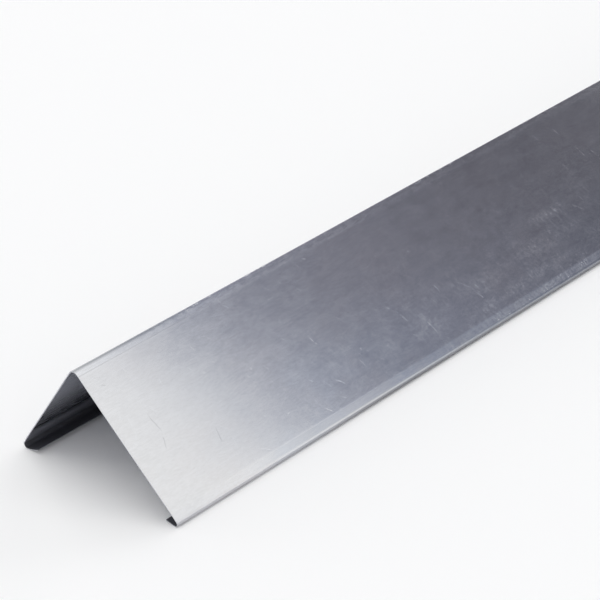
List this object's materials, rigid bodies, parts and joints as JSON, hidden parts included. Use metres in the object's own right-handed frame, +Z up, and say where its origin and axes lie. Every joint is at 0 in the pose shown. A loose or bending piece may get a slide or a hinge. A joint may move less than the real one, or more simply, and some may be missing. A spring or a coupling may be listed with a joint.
{
  "type": "zinc ridge flashing",
  "caption": "Long zinc sheet flashing bent into a wide inverted V that caps a roof ridge, with both lower edges turned back inwards as curled drip lips.",
  "frame": {"origin": "midway along the strip, midway between the wings, level with the bottom of the two lip bends that it stands on", "axes": "+X along the ridge, +Y towards the left wing seen looking along +X, +Z up through the ridge"},
  "size_m": [2, 0.1536, 0.0817],
  "materials": {
    "zinc": "satin"
  },
  "bodies": {
    "root": {"ridge_flashing": "zinc"}
  },
  "joints": []
}
